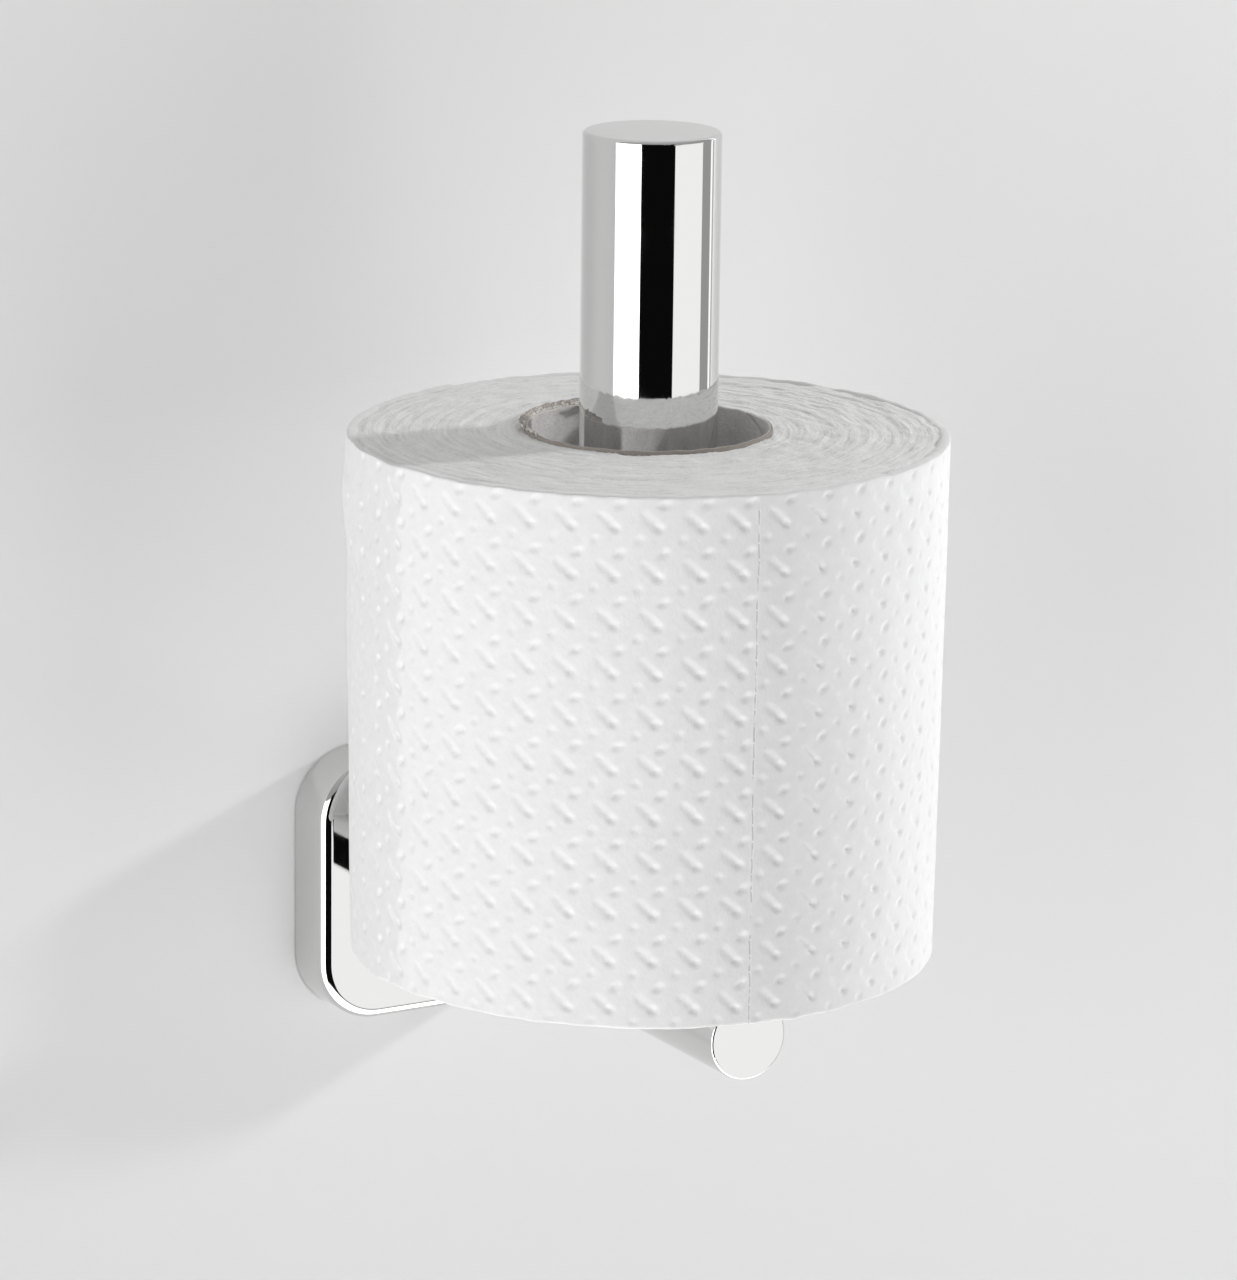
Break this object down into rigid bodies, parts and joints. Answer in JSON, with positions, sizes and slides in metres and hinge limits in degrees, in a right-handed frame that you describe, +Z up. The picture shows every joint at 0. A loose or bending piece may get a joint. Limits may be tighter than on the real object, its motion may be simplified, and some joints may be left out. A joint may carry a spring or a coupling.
{
  "type": "toilet paper holder",
  "caption": "Wall-mounted upright toilet paper holder: rounded square plate, round arm and polished post, with a roll standing on the arm.",
  "frame": {"origin": "centre of the wall plate's back, on the wall", "axes": "+Y into the wall, +Z up along the post, +X to the right for someone facing the wall"},
  "size_m": [0.114, 0.149, 0.1925],
  "materials": {
    "polished_steel": "mirror polished",
    "zinc_casting": "fine grain as cast",
    "turned_steel": "turned",
    "screw_steel": "stainless, satin",
    "foam_pad": "matt foam",
    "core_board": "matt grey board",
    "tissue": "soft embossed tissue"
  },
  "bodies": {
    "holder": {"adhesive_pad": "foam_pad", "wall_bracket": "zinc_casting", "plate_shell": "polished_steel", "plate_insert": "zinc_casting", "grub_screw": "screw_steel", "arm_screw": "screw_steel", "arm_lock_washer": "screw_steel", "arm_flat_washer": "turned_steel", "arm_locating_pin": "turned_steel", "arm_tube": "polished_steel", "arm_thread_plug": "turned_steel", "arm_end_cap": "polished_steel", "post_foot": "turned_steel", "post_tube": "polished_steel", "post_end_cap": "polished_steel", "post_screw": "screw_steel", "post_lock_washer": "screw_steel", "post_screw_bush": "turned_steel"},
    "core": {"cardboard_core": "core_board"},
    "paper": {"paper_roll": "tissue"}
  },
  "joints": [
    {"name": "roll_lift", "type": "slide", "parent": "holder", "child": "core", "axis": [0, 0, 1], "range_m": [0, 0.16]},
    {"name": "roll_spin", "type": "hinge", "parent": "core", "child": "paper", "pos_m": [0, -0.092, 0.058], "axis": [0, 0, 1], "continuous": true}
  ]
}
